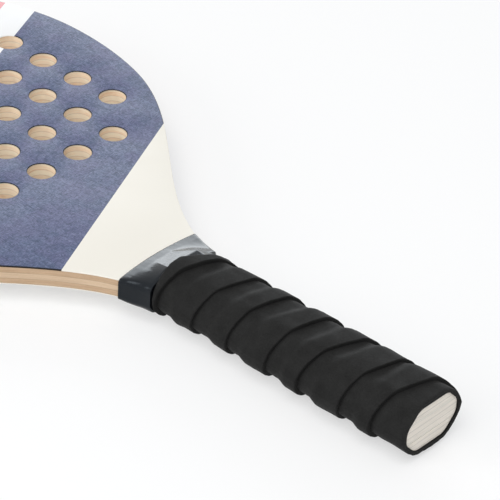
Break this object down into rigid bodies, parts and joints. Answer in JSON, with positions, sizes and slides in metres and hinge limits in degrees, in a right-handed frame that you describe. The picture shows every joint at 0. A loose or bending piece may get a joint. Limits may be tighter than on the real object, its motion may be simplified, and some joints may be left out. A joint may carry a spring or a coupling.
{
  "type": "beach tennis racket",
  "caption": "Perforated plywood beach tennis racket with a teardrop head, glued handle cheeks, a taped neck and a helically wound grip.",
  "frame": {"origin": "centre of the racket's bounding box, which is the middle of the blade's thickness on the racket's long axis", "axes": "+X from the tip of the head to the butt, +Y across the face, +Z out of the front face"},
  "size_m": [0.448, 0.236, 0.0314],
  "materials": {
    "light_ply": "matte",
    "dark_ply": "matte",
    "face_lacquer": "satin",
    "glossy_tape": "gloss",
    "grip_foam": "matte"
  },
  "bodies": {
    "root": {"middle_core_ply": "light_ply", "front_core_ply": "dark_ply", "back_core_ply": "dark_ply", "front_face_veneer": "face_lacquer", "back_face_veneer": "face_lacquer", "front_cheek_inner_ply": "light_ply", "front_cheek_middle_ply": "dark_ply", "front_cheek_outer_ply": "light_ply", "back_cheek_inner_ply": "light_ply", "back_cheek_middle_ply": "dark_ply", "back_cheek_outer_ply": "light_ply", "neck_tape": "glossy_tape", "grip_tape": "grip_foam"}
  },
  "joints": []
}
